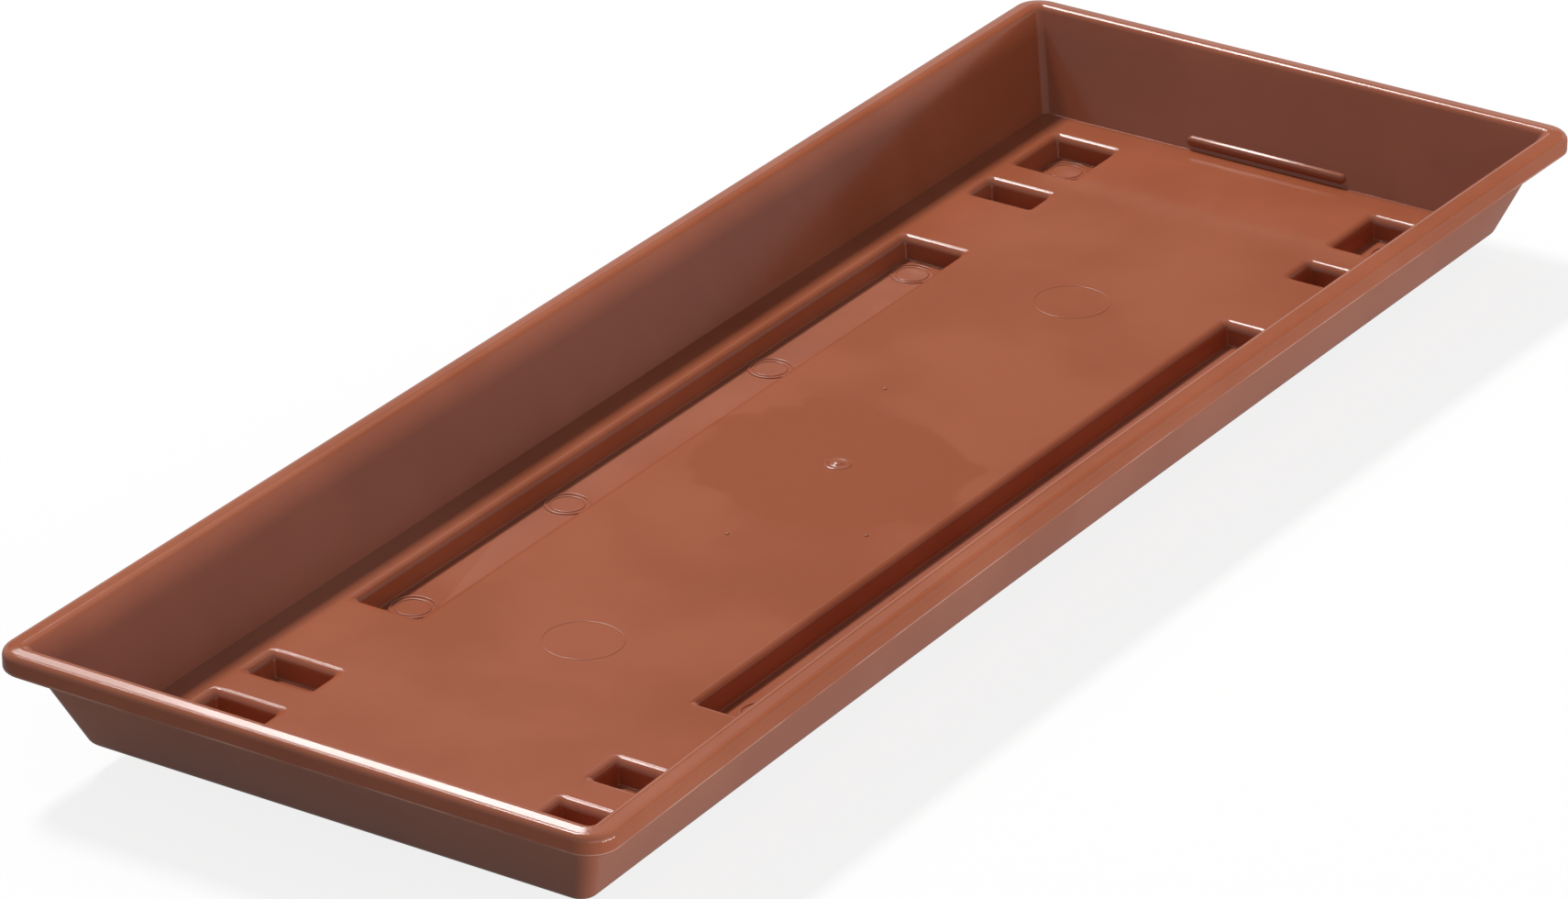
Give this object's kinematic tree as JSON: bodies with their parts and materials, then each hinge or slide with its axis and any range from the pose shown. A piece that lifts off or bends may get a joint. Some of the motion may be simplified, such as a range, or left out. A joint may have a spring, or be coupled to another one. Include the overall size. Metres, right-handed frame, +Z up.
{
  "type": "plant saucer",
  "caption": "Long rectangular plant saucer for a window box: leaning walls with a thick lip, a flat floor with pressed-down channels and corner pockets that form hollow feet",
  "frame": {"origin": "centre of the footprint, on the plane that the feet stand on", "axes": "X along the length, Y across the width, Z up"},
  "size_m": [0.4, 0.145, 0.0287],
  "materials": {
    "terracotta_plastic": "satin"
  },
  "bodies": {
    "root": {"saucer": "terracotta_plastic"}
  },
  "joints": []
}
